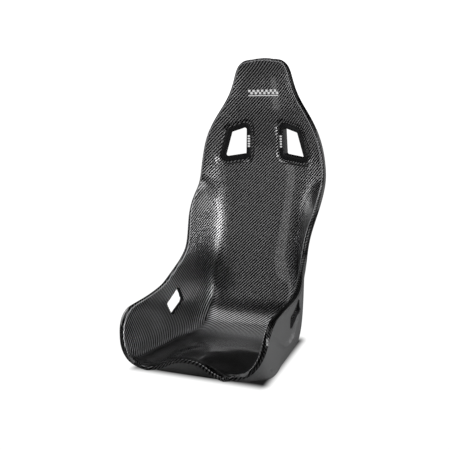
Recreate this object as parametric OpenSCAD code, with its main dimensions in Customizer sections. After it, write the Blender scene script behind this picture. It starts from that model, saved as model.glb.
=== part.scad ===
// Fixed-back racing seat: a double-skin composite bucket with harness slots.
// X is left to right, the sitter faces -Y, Z is up; the origin is on the floor under the middle.

/* [Shell] */
// Thickness of the inner skin, mm
inner_t = 3.0; // [2:0.5:5]
// Thickness of the outer skin, mm
outer_t = 2.5; // [2:0.5:4]
// Inside radius of the rolled rim, mm
rim_r = 4.0; // [3:0.5:8]
// Straight width of the rim flange after the roll, mm
flange_w = 12.0; // [6:1:20]
// Width factor of the whole bucket
width_factor = 1.0; // [0.9:0.01:1.1]

/* [Harness slots] */
// Width of the moulded surround beside a shoulder slot, mm
bezel_w = 17.0; // [10:0.5:20]
// Height of the moulded surround above the skin, mm
bezel_h = 4.0; // [2:0.5:8]

/* [Side fixings] */
// Distance between the front and rear fixing on one side, mm
fix_pitch = 290.0; // [250:5:340]
// Height of the fixings above the floor, mm
fix_z = 40.0; // [32:1:60]
// Radius of the tapped hole for an M8 bolt, mm
fix_r = 4.0; // [3:0.5:5]

/* [Mesh] */
// Strips along the inner skin
nv_in = 52; // [36:2:80]
// Strips across the inner skin
nu_in = 28; // [16:2:40]

/* [Hidden] */
$fn = 40;
nv_out = 48;
nu_out = 26;
y_mid = 201.7;
fix_y0 = 20;

// Stations from the front lip to the head: rim x, y, z, then spine y, z and tilt.
ST = [
[135, -113, 43.5, -95, 71, 0],
[165, -104.5, 52, -84, 72, 0],
[190.5, -96, 69, -73, 71, 0],
[205.5, -86, 97, -60, 70, 0],
[212.5, -76.5, 127, -45, 69, 0],
[214, -63, 156, -25, 67.5, 0],
[213.5, -38, 177.5, 3, 65, 0],
[211, -3, 186.5, 38, 61, 0],
[208.5, 50, 193, 80, 55, 0],
[209, 103, 199.5, 118, 50, 0],
[210.5, 155, 208.5, 155, 45, 0],
[210.5, 190, 220, 225, 36, 8],
[208, 220, 238.5, 290, 34, 22],
[204, 246, 256.5, 345, 48, 40],
[200.5, 268, 272.5, 388, 83, 58],
[198, 285, 288.5, 415, 130, 72],
[196.5, 299, 305, 430, 185, 81],
[196.3, 309, 324.5, 441, 245, 86],
[197.5, 318, 347.5, 451, 305, 88],
[201, 330, 377.5, 461, 365, 90],
[207, 347, 412.5, 470, 420, 91],
[212.5, 374, 450, 478, 468, 91],
[215, 405, 483.5, 485, 508, 91],
[216.3, 431, 510, 490, 540, 91],
[217, 445, 537, 494, 570, 91],
[214.5, 450.5, 573, 497, 600, 90],
[207, 451, 619.5, 498, 635, 90],
[196, 449, 660, 495, 668, 90],
[180, 449.5, 699.5, 490, 702, 90],
[157, 452, 740, 485, 738, 90],
[130.5, 455, 780, 480, 778, 90],
[109, 456, 820, 477, 818, 90],
[97, 455.5, 857, 473.5, 855, 90],
[89, 455, 886, 468.5, 884, 90],
[80, 455, 903, 463, 901, 90],
[67, 455, 912.5, 459, 911, 90],
[50, 455, 915, 457, 915, 90]];

// Half sections of the inner skin at every third station, four points each.
SK = [
[40, -3, 75, -24, 103, -33, 0, -3],
[55, -6, 110, -36, 170, -34, 12, -6],
[60, -4, 115, -32, 188, -30, 5, -16],
[60, -2, 120, -16, 190, -14, 5.5, -8],
[58, 0, 112, -1, 177, 4, 4, -15],
[52, 1, 102, 3, 167, 13, 3, -4],
[50, 1, 100, 4, 150, 13, 3, -5],
[50, 1, 102, 4, 152, 15, 6, -2],
[55, 1, 108, 5, 160, 17, 2, 5],
[52, 2, 98, 8, 145, 20, 3, 2],
[36, 1, 68, 4, 100, 12, 2, 1],
[23, 0, 45, 2, 65, 6, 2, 0.5],
[13, 0, 26, 0, 38, 0.2, 0, 0]];

// Direction of the rim flange at every third station.
GK = [
[0.10, 0.25, -0.97], [0.55, 0.35, -0.75], [0.90, 0.20, -0.40], [0.75, 0.00, -0.66],
[0.66, 0.40, -0.62], [0.42, 0.82, -0.38], [0.25, 0.95, -0.15], [0.20, 0.98, 0],
[0.20, 0.98, 0], [0.20, 0.98, 0], [0.20, 0.98, 0], [0.15, 0.98, 0], [0, 0.99, 0.1]];
// Share of the full flange width at every third station.
FK = [0.15, 0.6, 1, 1, 1, 1, 1, 1, 1, 1, 1, 1, 1];

// Spine of the outer skin: y, z and tilt.
SO = [
[-85, 44, 0], [-76, 32, 0], [-62, 18, 0], [-46, 6, 0], [-27, 0, 0], [-3, 0, 0],
[22, 0, 0], [50, 0, 0], [88, 0, 0], [122, 0, 0], [158, 0, 0], [225, 0, 0],
[290, 0, 0], [368, 0, 8], [424, 10, 42], [437, 80, 73], [447, 150, 81], [457, 215, 86],
[468, 285, 88], [479, 350, 90], [489, 408, 90], [498, 460, 90], [505, 502, 90],
[511, 536, 90], [515, 568, 90], [518, 600, 90], [519, 635, 90], [517, 668, 90],
[513, 702, 90], [508, 738, 90], [504, 778, 90], [501, 818, 90], [497, 855, 90],
[490, 884, 90], [482, 901, 90], [475, 909, 90], [472, 911, 90]];

// Half sections of the outer skin at every third station, five points each.
OK = [
[30, -2, 60, -14, 88, -26, 112, -27, 0, 0],
[60, 0, 110, 0, 150, 6, 199, 72, 4, 0],
[80, 0, 190, 0, 204, 0, 205, 13, 2, 0],
[78, 0, 181, 0, 194, 0, 197, 12, 4, 0],
[70, 0, 160, 0, 174, 0, 178, 12, 6, -4],
[60, 0, 105, 1, 140, 4, 160, 28, 4, -8],
[55, 1, 100, 2, 138, 5, 165, 28, 5, -5],
[55, 1, 104, 3, 150, 8, 182, 30, 5, 0],
[58, 1, 112, 4, 165, 12, 195, 28, 3, 0],
[52, 2, 100, 6, 148, 16, 176, 30, 2, 0],
[35, 1, 66, 4, 97, 11, 117, 22, 1, 0],
[23, 1, 44, 3, 63, 8, 76, 16, 0, 0],
[13, 0, 25, 0, 36, 0, 43, 0, 0, 0]];

// Shoulder slot frame and outlines, in the plane of the slot.
slot_at = [100, 488, 655];
slot_rx = 4.6;
slot_rz = -11.3;
slot_back = 22;
OPEN = [[-35, 50], [20, 32], [44, -53], [-33, -41]];
// Lap slot frame and outline, in the plane of the side wall.
lap_at = [200.6, 218, 147];
LAP = [[27, 40], [48, -4], [-28, -39], [-48, 1]];

// Smoothing spline through table rows.
function row(T, i) = let(m = len(T) - 1)
    i < 0 ? 2 * T[0] - T[-i] : i > m ? 2 * T[m] - T[2 * m - i] : T[i];
function ctl(T, i) = (8 * row(T, i) - row(T, i - 1) - row(T, i + 1)) / 6;
function spl(T, v) = let(i = min(floor(v), len(T) - 2), t = v - i)
    (pow(1 - t, 3) * ctl(T, i - 1) + (3 * t * t * t - 6 * t * t + 4) * ctl(T, i)
    + (-3 * t * t * t + 3 * t * t + 3 * t + 1) * ctl(T, i + 1) + t * t * t * ctl(T, i + 2)) / 6;

// Clamped cubic basis for a row of n points at u.
function kn(n, i) = max(0, min(n - 3, i - 3));
function bas(n, i, p, u) =
    p == 0 ? ((kn(n, i) <= u && u < kn(n, i + 1))
        || (u == n - 3 && kn(n, i) < u && u <= kn(n, i + 1)) ? 1 : 0)
    : let(a = kn(n, i + p) - kn(n, i), b = kn(n, i + p + 1) - kn(n, i + 1))
        (a > 0 ? (u - kn(n, i)) / a * bas(n, i, p - 1, u) : 0)
        + (b > 0 ? (kn(n, i + p + 1) - u) / b * bas(n, i + 1, p - 1, u) : 0);
function bmat(n, nu) = [for (j = [0:nu]) [for (i = [0:n - 1]) bas(n, i, 3, (n - 3) * j / nu)]];
function unit(a) = a / norm(a);
function full(H) = let(m = len(H) - 1)
    concat([for (i = [m:-1:1]) [-H[i][0], H[i][1]]], H);

// Local flats for the moulded surrounds.
function edge_d(p, V, i) = let(a = V[i], b = V[(i + 1) % len(V)], e = unit(b - a))
    e[1] * (p[0] - a[0]) - e[0] * (p[1] - a[1]);
function out_d(p, V) = let(d = [for (i = [0:len(V) - 1]) edge_d(p, V, i)],
    s = edge_d([0, 0], V, 0) > 0 ? -1 : 1) max(s * d);
function ease(t) = let(c = max(0, min(1, t))) c * c * (3 - 2 * c);
function flat_y(x, z) = slot_at[1] + tan(slot_rz) * (x - slot_at[0]) - tan(slot_rx) * (z - slot_at[2]);
function dish(p, back) = let(q = [abs(p[0]) - slot_at[0], p[2] - slot_at[2]])
    abs(q[1]) > 110 || p[1] < 400 ? p :
    let(w = 1 - ease((out_d(q, OPEN) - bezel_w - 3) / 18))
    [p[0], p[1] * (1 - w) + w * (flat_y(abs(p[0]), p[2]) + back), p[2]];

// Inner skin, sitter side.
function half_in(R, k) = let(W = [(k[4] + R[0]) / 2 + k[6], (k[5] + R[1]) / 2 + k[7]])
    [[0, 0], [k[0], k[1]], [k[2], k[3]], [k[4], k[5]], W, R - 5 * unit(R - W)];
function in_row(v, B) = let(s = spl(ST, v), k = spl(SK, v / 3), c = cos(s[5]), n = sin(s[5]),
    dy = s[1] - s[3], dz = s[2] - s[4], h = -dy * n + dz * c, sh = dy * c + dz * n,
    F = full(half_in([s[0], h], k)))
    [for (b = B) let(q = b * F, g = sh * pow(q[0] / s[0], 2))
        dish([q[0] * width_factor, s[3] - q[1] * n + g * c, s[4] + q[1] * c + g * n], 0)];
function in_grid(nv, nu) = let(B = bmat(11, nu)) [for (a = [0:nv]) in_row(36 * a / nv, B)];

// Edge loop of a grid and the frame at each of its points.
function loop_ij(nv, nu) = concat([for (j = [0:nu - 1]) [0, j]], [for (i = [0:nv - 1]) [i, nu]],
    [for (j = [nu:-1:1]) [nv, j]], [for (i = [nv:-1:1]) [i, 0]]);
function inner_of(G, q, nv, nu) = G[max(1, min(nv - 1, q[0]))][max(1, min(nu - 1, q[1]))];
function lean(q, nv, nu) = let(g = unit(spl(GK, 12 * q[0] / nv)))
    unit([g[0] * (2 * q[1] / nu - 1), g[1], g[2]]);
function soft(N) = let(m = len(N))
    [for (i = [0:m - 1]) unit(N[(i + m - 1) % m] + 2 * N[i] + N[(i + 1) % m])];
function frames(G, nv, nu) = let(L = loop_ij(nv, nu), m = len(L), P = [for (q = L) G[q[0]][q[1]]],
    E = [for (i = [0:m - 1]) unit(P[(i + 1) % m] - P[(i + m - 1) % m])],
    N = soft(soft([for (i = [0:m - 1]) unit(cross(E[i], inner_of(G, L[i], nv, nu) - P[i]))])))
    [for (i = [0:m - 1]) let(w = unit(cross(E[i], N[i])), g = lean(L[i], nv, nu),
        a = atan2(-g * N[i], g * w)) [P[i], N[i], w, a < 0 ? a + 360 : a,
            flange_w * spl(FK, 12 * L[i][0] / nv)]];
function rim(f, r, a) = f[0] - f[1] * (rim_r + inner_t) + r * (f[1] * cos(a) + f[2] * sin(a));
function tail(f) = -f[1] * sin(f[3]) + f[2] * cos(f[3]);
// Line on the inside of the flange where the outer skin is bonded.
function bond(f) = rim(f, rim_r - 0.6, f[3]) + 0.45 * f[4] * tail(f);

// Outer skin, outside face.
function out_row(v, R, B) = let(s = spl(SO, v), k = spl(OK, v / 3), c = cos(s[2]), n = sin(s[2]),
    dy = R[1] - s[0], dz = R[2] - s[1], h = -dy * n + dz * c, sh = dy * c + dz * n,
    W = [(k[6] + R[0]) / 2 + k[8], (k[7] + h) / 2 + k[9]],
    F = full([[0, 0], [k[0], k[1]], [k[2], k[3]], [k[4], k[5]], [k[6], k[7]], W, [R[0], h]]))
    [for (b = B) let(q = b * F, g = sh * (abs(h) > 20 ? q[1] / h : pow(q[0] / R[0], 2)))
        [q[0], s[0] - q[1] * n + g * c, s[1] + q[1] * c + g * n]];
function out_grid(nv, nu) = let(G = in_grid(nv, nu), f = frames(G, nv, nu), B = bmat(13, nu),
    Q = [for (a = f) bond(a)],
    O = [for (a = [0:nv]) out_row(36 * a / nv, Q[nu + a], B)],
    C0 = [for (j = [0:nu]) Q[j] - O[0][j]],
    C1 = [for (j = [0:nu]) Q[nu + nv + nu - j] - O[nv][j]])
    [for (a = [0:nv]) let(v = 36 * a / nv,
        g = pow(max(0, 1 - v / 4), 2), k = pow(max(0, 1 - (36 - v) / 5), 2))
        [for (j = [0:nu]) let(p = O[a][j] + g * C0[j] + k * C1[j])
            dish([p[0], p[1], max(0, p[2])], slot_back)]];

// Unit normals of a grid, towards the sitter.
function nrm(G, i, j, nv, nu) = let(a = G[min(nv, i + 1)][j] - G[max(0, i - 1)][j],
    b = G[i][min(nu, j + 1)] - G[i][max(0, j - 1)]) unit(cross(b, a));

// Closed skin from two point sheets and shared edge loops.
function quads(a, b, c, d) = [[a, b, c], [a, c, d]];
function gid(i, j, nu) = i * (nu + 1) + j;
function sheet_f(nv, nu, o, flip) = [for (i = [0:nv - 1], j = [0:nu - 1], t = quads(o + gid(i, j, nu),
    o + gid(i + 1, j, nu), o + gid(i + 1, j + 1, nu), o + gid(i, j + 1, nu)))
    flip ? [t[2], t[1], t[0]] : t];
function band_f(A, B) = let(m = len(A)) [for (i = [0:m - 1], t = quads(A[i], A[(i + 1) % m],
    B[(i + 1) % m], B[i])) t];
function seq(o, m) = [for (i = [0:m - 1]) o + i];

module skin(G, H, rings_g, rings_h, nv, nu) {
    g = (nv + 1) * (nu + 1);
    L = loop_ij(nv, nu);
    m = len(L);
    k = len(rings_g);
    pts = concat([for (r = G) each r], [for (r = H) each r],
        [for (r = rings_g) each r], [for (r = rings_h) each r]);
    lg = concat([[for (q = L) gid(q[0], q[1], nu)]], [for (i = [0:1:k - 1]) seq(2 * g + i * m, m)]);
    lh = concat([[for (q = L) g + gid(q[0], q[1], nu)]], [for (i = [0:1:k - 1]) seq(2 * g + (k + i) * m, m)]);
    faces = concat(sheet_f(nv, nu, 0, false), sheet_f(nv, nu, g, true),
        [for (i = [0:1:k - 1]) each band_f(lg[i + 1], lg[i])],
        [for (i = [0:1:k - 1]) each band_f(lh[i], lh[i + 1])],
        band_f(lh[k], lg[k]));
    polyhedron(points = pts, faces = faces, convexity = 8);
}

// Rounded polygon helpers.
function line_x(a, u, b, w) = let(d = u[0] * w[1] - u[1] * w[0],
    t = ((b[0] - a[0]) * w[1] - (b[1] - a[1]) * w[0]) / d) a + t * u;
function grow(V, d) = let(m = len(V), s = edge_d([0, 0], V, 0) > 0 ? -1 : 1)
    [for (i = [0:m - 1]) let(p = V[(i + m - 1) % m], q = V[i], r = V[(i + 1) % m],
        u = unit(q - p), w = unit(r - q),
        a = p + s * d * [u[1], -u[0]], b = q + s * d * [w[1], -w[0]]) line_x(a, u, b, w)];
function rounded(V, r) = let(m = len(V))
    [for (i = [0:m - 1]) let(p = V[(i + m - 1) % m], q = V[i], n = V[(i + 1) % m],
        u = unit(p - q), w = unit(n - q), h = acos(u * w) / 2, t = r / tan(h),
        c = q + unit(u + w) * r / sin(h),
        a = q + u * t - c, b = q + w * t - c) each [for (k = [0:6]) c + r * unit(a * (6 - k) + b * k)]];
module prism(V, d, r, z0, z1) {
    translate([0, 0, z0]) linear_extrude(z1 - z0) polygon(rounded(grow(V, d), r));
}
module frame_ring(V, d0, d1, r0, z0, z1) {
    translate([0, 0, z0]) linear_extrude(z1 - z0) difference() {
        polygon(rounded(grow(V, d1), r0 + d1));
        polygon(rounded(grow(V, d0), r0 + d0));
    }
}
module seat() { translate([0, -y_mid, 0]) children(); }
module side(s) { mirror([s < 0 ? 1 : 0, 0, 0]) children(); }
module at_slot(s) {
    side(s) translate(slot_at) rotate([0, 0, slot_rz]) rotate([90 + slot_rx, 0, 0]) children();
}
module at_lap(s) {
    side(s) translate(lap_at) rotate([0, 0, -5.7]) rotate([0, 2.9, 0]) rotate([90, 0, 90]) children();
}
module box_cut(V, d, r, z0, z1) { hull() prism(V, d, r, z0, z1); }
// Clip boss places beside a shoulder slot.
BOSS = let(V = grow(OPEN, 6.6)) [for (i = [0:3]) (V[i] + V[(i + 1) % 4]) / 2];
function fix_at(s, k) = [s * (k == 0 ? 208 : 179.2), fix_y0 + k * fix_pitch, fix_z - 2 + 2 * k];

module inner_shell() {
    nv = nv_in;
    nu = nu_in;
    G = in_grid(nv, nu);
    f = frames(G, nv, nu);
    H = [for (i = [0:nv]) [for (j = [0:nu]) G[i][j] - inner_t * nrm(G, i, j, nv, nu)]];
    L = loop_ij(nv, nu);
    m = len(L);
    K = [for (i = [0:nv]) [for (j = [0:nu]) (i > 0 && i < nv && j > 0 && j < nu) ? H[i][j] :
        let(q = i == 0 ? j : j == nu ? nu + i : i == nv ? nu + nv + nu - j : m - i) rim(f[q % m], rim_r, 0)]];
    steps = [0.25, 0.5, 0.75, 1];
    R = rim_r + inner_t;
    rg = concat([for (t = steps) [for (a = f) rim(a, R, t * a[3])]],
        [[for (a = f) rim(a, R, a[3]) + a[4] * tail(a)]]);
    rh = concat([for (t = steps) [for (a = f) rim(a, rim_r, t * a[3])]],
        [[for (a = f) rim(a, rim_r, a[3]) + a[4] * tail(a)]]);
    color([0.09, 0.09, 0.1]) seat() difference() {
        skin(G, K, rg, rh, nv, nu);
        for (s = [-1, 1]) {
            at_slot(s) box_cut(OPEN, 3.2, 9, -20, 20);
            at_slot(s) box_cut(OPEN, bezel_w + 0.5, bezel_w + 6.5, 0, 20);
            for (b = BOSS) at_slot(s) hull() translate([b[0], b[1], -15]) cylinder(r = 3.7, h = 30);
            at_lap(s) box_cut(LAP, 1.9, 7, -12, 30);
        }
    }
}

module outer_shell() {
    nv = nv_out;
    nu = nu_out;
    G = out_grid(nv, nu);
    H = [for (i = [0:nv]) [for (j = [0:nu]) G[i][j] + outer_t * nrm(G, i, j, nv, nu)]];
    color([0.42, 0.42, 0.43]) seat() difference() {
        skin(H, G, [], [], nv, nu);
        for (s = [-1, 1]) {
            at_slot(s) box_cut(OPEN, 3.2, 9, -40, -10);
            at_slot(s) box_cut(OPEN, bezel_w + 0.5, bezel_w + 6.5, -40, -slot_back);
            for (b = BOSS) at_slot(s) hull() translate([b[0], b[1], -35]) cylinder(r = 1.9, h = 25);
            at_lap(s) box_cut(LAP, 1.9, 7, -12, 30);
            for (k = [0, 1]) translate(fix_at(s, k)) hull() rotate([0, 90, 0])
                cylinder(r = 9.3, h = 16, center = true);
        }
    }
}

module shoulder_bezel(s) {
    color([0.12, 0.12, 0.125]) seat() at_slot(s) {
        difference() {
            union() {
                frame_ring(OPEN, 0, bezel_w, 6, 0.2, bezel_h - 1.2);
                frame_ring(OPEN, 0, bezel_w - 4, 6, bezel_h - 1.2, bezel_h);
                frame_ring(OPEN, 0, 2.5, 6, -slot_back + 0.4, 0.2);
                for (b = BOSS) translate([b[0], b[1], -slot_back + 4.4]) cylinder(r = 3.2, h = slot_back - 4.2);
            }
            for (b = BOSS) translate([b[0], b[1], -slot_back]) cylinder(r = 1.55, h = slot_back - 1);
        }
    }
}
module rear_bezel(s) {
    color([0.12, 0.12, 0.125]) seat() at_slot(s) difference() {
        union() {
            frame_ring(OPEN, 0, bezel_w, 6, -slot_back - 3.4, -slot_back - 0.2);
            frame_ring(OPEN, 0, 2.5, 6, -slot_back - 0.2, -slot_back + 0.2);
        }
        for (b = BOSS) translate([b[0], b[1], -slot_back - 4]) cylinder(r = 1.8, h = 8);
    }
}
module bezel_screws() {
    color([0.25, 0.25, 0.26]) seat() for (s = [-1, 1], b = BOSS)
        at_slot(s) translate([b[0], b[1], -slot_back - 3.5]) {
        translate([0, 0, -1.9]) cylinder(r = 3, h = 1.9);
        cylinder(r = 1.5, h = 16);
    }
}
// Printed dashes on the inner upright of a surround.
module bezel_mark(s) {
    color([0.85, 0.85, 0.85]) seat() at_slot(s) for (k = [-2:2])
        translate([-46.4, 2.5 + 8.6 * k - 2.7, bezel_h + 0.05]) cube([8, 5.4, 0.3]);
}
// Collar between the skins, its ends parallel to the wall.
module lap_liner(s) {
    color([0.07, 0.07, 0.075]) seat() at_lap(s) intersection() {
        frame_ring(LAP, 0, 1.6, 5, -14, 18);
        rotate([4.6, 10.7, 0]) translate([-70, -60, 0.6]) cube([140, 120, 8]);
    }
}
module insert(s, k) {
    p = fix_at(s, k);
    color([0.62, 0.62, 0.63]) seat() translate([p[0] + s * 0.6, p[1], p[2]]) rotate([0, -s * 90, 0]) difference() {
        union() {
            cylinder(r = 9, h = 14);
            translate([0, 0, 9.2]) cylinder(r = 12.5, h = 2.2);
        }
        translate([0, 0, -1]) cylinder(r = fix_r, h = 16);
    }
}
module mount_plate(s) {
    a = fix_at(s, 0);
    b = fix_at(s, 1);
    t = atan2(a[0] * s - b[0] * s, fix_pitch);
    color([0.5, 0.5, 0.52]) seat() difference() {
        side(s) translate([(a[0] * s + b[0] * s) / 2 - 7.4, (a[1] + b[1]) / 2, fix_z - 1]) rotate([0, 0, t])
            translate([-1.5, -165, -15]) cube([3, 330, 30]);
        for (k = [0, 1]) translate(fix_at(s, k)) rotate([0, 90, 0]) cylinder(r = 9.3, h = 40, center = true);
    }
}
// Chequered decal on the head, laid along the curved skin.
function head_y(x, z) = 476.7 - 0.69 * x * x / 1000 - 0.08 * (z - 818) - 0.104 * pow(x / 100, 4) * 100;
module head_badge() {
    color([0.9, 0.9, 0.9]) seat() union() {
        for (i = [-7:6], j = [0, 1]) if ((i + j) % 2 == 0) let(x = 7.6 * i + 3.8, z = 817 + 7.6 * j)
            translate([x, head_y(x, z) - 0.3, z]) rotate([0, 0, -atan(0.00138 * x + 4.2 * pow(x / 100, 3) / 10)])
                rotate([94.6, 0, 0]) translate([-3.75, -3.75, 0]) cube([7.5, 7.5, 0.4]);
        translate([0, 0, 807.5]) linear_extrude(2.6) polygon(concat(
            [for (x = [-53:5.3:53]) [x, head_y(x, 809) - 0.3]],
            [for (x = [53:-5.3:-53]) [x, head_y(x, 809) - 0.75]]));
    }
}

inner_shell();
outer_shell();
shoulder_bezel(-1);  // shoulder_bezel_left
shoulder_bezel(1);  // shoulder_bezel_right
rear_bezel(-1);  // rear_bezel_left
rear_bezel(1);  // rear_bezel_right
bezel_screws();
bezel_mark(-1);  // bezel_mark_left
bezel_mark(1);  // bezel_mark_right
lap_liner(-1);  // lap_liner_left
lap_liner(1);  // lap_liner_right
insert(-1, 0);  // insert_front_left
insert(1, 0);  // insert_front_right
insert(-1, 1);  // insert_rear_left
insert(1, 1);  // insert_rear_right
mount_plate(-1);  // mount_plate_left
mount_plate(1);  // mount_plate_right
head_badge();
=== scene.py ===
import math

import bmesh
import bpy
import numpy as np
from mathutils import Matrix, Vector


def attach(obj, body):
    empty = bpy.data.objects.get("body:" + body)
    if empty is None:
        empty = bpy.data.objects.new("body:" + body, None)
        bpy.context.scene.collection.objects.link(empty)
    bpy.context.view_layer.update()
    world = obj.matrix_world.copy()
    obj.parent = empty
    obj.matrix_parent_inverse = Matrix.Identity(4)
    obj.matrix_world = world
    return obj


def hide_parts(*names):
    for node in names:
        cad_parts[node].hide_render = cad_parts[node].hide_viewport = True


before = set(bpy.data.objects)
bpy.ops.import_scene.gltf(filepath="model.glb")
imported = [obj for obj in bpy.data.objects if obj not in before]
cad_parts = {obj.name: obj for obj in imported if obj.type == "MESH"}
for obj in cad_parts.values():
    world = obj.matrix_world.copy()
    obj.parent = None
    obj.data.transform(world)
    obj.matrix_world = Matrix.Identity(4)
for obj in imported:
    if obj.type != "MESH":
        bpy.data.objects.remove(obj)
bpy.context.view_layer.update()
Y_MID = 201.7          # the seat's shell tables are in mm from the front foot of the side panel
INNER_T, OUTER_T = 3.0, 2.5
RIM_R, FLANGE_W = 4.0, 12.0
BEZEL_W, SLOT_BACK = 17.0, 22.0        # face width of a shoulder surround, and its depth to the rear skin
CROWN = 5.0                            # arch of the head's top edge
HOLLOW_DEEP, HOLLOW_RIDGE = 5.0, 4.6   # hollow round the lap slot, and the raised edge about it
# room made behind each hip: its middle, how far it spreads, how far out and what share of that to the rear
HIP_AT, HIP_R, HIP_ROOM, HIP_REAR = (177, 388, 195), 35.0, 1.6, 0.7
# drawing back the outer skin at the front: gap aimed at, furthest move, and how near the tub counts
TUCK_GAP, TUCK_MAX, TUCK_NEAR = 1.2, 18.0, 25.0
TUCK_FROM, TUCK_TO, TUCK_EDGE = 0.03, 5, 0.008          # stations that it covers, and its fade at the rim
SLOT_ROOM, SLOT_CORNER = 3.2, 9        # how far the skins are cut back round a shoulder opening
LAP_ROOM, LAP_CORNER, LAP_REACH = 1.9, 7, (-12, 30)     # the same for a lap slot, and the cutter's two ends

# ---------------------------------------------------------------- shell tables
# stations from the front lip to the head: rim x, y, z | spine y, z | tilt
ST = [
    [135, -113, 43.5, -95, 71, 0], [165, -104.5, 52, -84, 72, 0], [190.5, -96, 69, -73, 71, 0],
    [205.5, -86, 97, -60, 70, 0], [212.5, -76.5, 127, -45, 69, 0], [214, -63, 156, -25, 67.5, 0],
    [213.5, -38, 177.5, 3, 65, 0], [211, -3, 186.5, 38, 61, 0], [208.5, 50, 193, 80, 55, 0],
    [209, 103, 199.5, 118, 50, 0], [210.5, 155, 208.5, 155, 45, 0], [210.5, 190, 220, 225, 36, 8],
    [208, 220, 238.5, 290, 34, 22], [204, 246, 256.5, 345, 48, 40], [200.5, 268, 272.5, 388, 83, 58],
    [198, 285, 288.5, 415, 130, 72], [196.5, 299, 305, 430, 185, 81], [196.3, 309, 324.5, 441, 245, 86],
    [197.5, 318, 347.5, 451, 305, 88], [201, 330, 377.5, 461, 365, 90], [207, 347, 412.5, 470, 420, 91],
    [212.5, 374, 450, 478, 468, 91], [215, 405, 483.5, 485, 508, 91], [216.3, 431, 510, 490, 540, 91],
    [217, 445, 537, 494, 570, 91], [214.5, 450.5, 573, 497, 600, 90], [207, 451, 619.5, 498, 635, 90],
    [196, 449, 660, 495, 668, 90], [180, 449.5, 699.5, 490, 702, 90], [157, 452, 740, 485, 738, 90],
    [130.5, 455, 780, 480, 778, 90], [109, 456, 820, 477, 818, 90], [97, 455.5, 857, 473.5, 855, 90],
    [89, 455, 886, 468.5, 884, 90], [80, 455, 903, 463, 901, 90], [67, 455, 912.5, 459, 911, 90],
    [50, 455, 915, 457, 915, 90]]
# half sections of the inner skin at every third station
SK = [
    [40, -3, 75, -24, 103, -33, 0, -3], [55, -6, 110, -36, 170, -34, 12, -6],
    [60, -4, 115, -32, 188, -30, 5, -16], [60, -2, 120, -16, 190, -14, 5.5, -8],
    [58, 0, 112, -1, 177, 4, 4, -15], [52, 1, 102, 3, 167, 13, 3, -4],
    [50, 1, 100, 4, 150, 13, 3, -5], [50, 1, 102, 4, 152, 15, 6, -2], [55, 1, 108, 5, 160, 17, 2, 5],
    [52, 2, 98, 8, 145, 20, 3, 2], [36, 1, 68, 4, 100, 12, 2, 1], [23, 0, 45, 2, 65, 6, 2, 0.5],
    [13, 0, 26, 0, 38, 0.2, 0, 0]]
# direction in which the rim's flange leaves the fold
GK = [
    [0.10, 0.25, -0.97], [0.55, 0.35, -0.75], [0.90, 0.20, -0.40], [0.75, 0.00, -0.66], [0.66, 0.40, -0.62],
    [0.42, 0.82, -0.38], [0.25, 0.95, -0.15], [0.20, 0.98, 0], [0.20, 0.98, 0], [0.20, 0.98, 0],
    [0.20, 0.98, 0], [0.15, 0.98, 0], [0, 0.99, 0.1]]
FK = [0.15, 0.6, 1, 1, 1, 1, 1, 1, 1, 1, 1, 1, 1]      # share of the full flange width
# outer skin: spine y, z, tilt and half sections
SO = [
    [-85, 44, 0], [-76, 32, 0], [-62, 18, 0], [-46, 6, 0], [-27, 0, 0], [-3, 0, 0], [22, 0, 0], [50, 0, 0],
    [88, 0, 0], [122, 0, 0], [158, 0, 0], [225, 0, 0], [290, 0, 0], [368, 0, 8], [424, 10, 42], [437, 80, 73],
    [447, 150, 81], [457, 215, 86], [468, 285, 88], [479, 350, 90], [489, 408, 90], [498, 460, 90],
    [505, 502, 90], [511, 536, 90], [515, 568, 90], [518, 600, 90], [519, 635, 90], [517, 668, 90],
    [513, 702, 90], [508, 738, 90], [504, 778, 90], [501, 818, 90], [497, 855, 90], [490, 884, 90],
    [482, 901, 90], [475, 909, 90], [472, 911, 90]]
OK = [
    [30, -2, 60, -14, 88, -26, 112, -27, 0, 0], [60, 0, 110, 0, 150, 6, 199, 72, 4, 0],
    [80, 0, 190, 0, 204, 0, 205, 13, 2, 0], [78, 0, 181, 0, 194, 0, 197, 12, 4, 0],
    [70, 0, 160, 0, 174, 0, 178, 12, 6, -4], [60, 0, 105, 1, 140, 4, 160, 28, 4, -8],
    [55, 1, 100, 2, 138, 5, 165, 28, 5, -5], [55, 1, 104, 3, 150, 8, 182, 30, 5, 0],
    [58, 1, 112, 4, 165, 12, 195, 28, 3, 0], [52, 2, 100, 6, 148, 16, 176, 30, 2, 0],
    [35, 1, 66, 4, 97, 11, 117, 22, 1, 0], [23, 1, 44, 3, 63, 8, 76, 16, 0, 0],
    [13, 0, 25, 0, 36, 0, 43, 0, 0, 0]]
SLOT_AT, SLOT_RX, SLOT_RZ = (100, 488, 655), 4.6, -11.3
OPEN = np.array([[-35, 50], [20, 32], [44, -53], [-33, -41]], float)
LAP_AT = (200.6, 218, 147)
LAP = np.array([[27, 40], [48, -4], [-28, -39], [-48, 1]], float)
# hollow in the side wall round the lap slot, as (y, z) from its middle
HOLLOW_AT = (120, 150)
HOLLOW = np.array([[140, 75], [137, -20], [118, -74], [70, -86],
                   [10, -77], [-60, -45], [-150, 5], [-100, 90]], float)


# ---------------------------------------------------------------- surface maths
def unit(a):
    return a / (np.linalg.norm(a, axis=-1, keepdims=True) + 1e-12)


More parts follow.
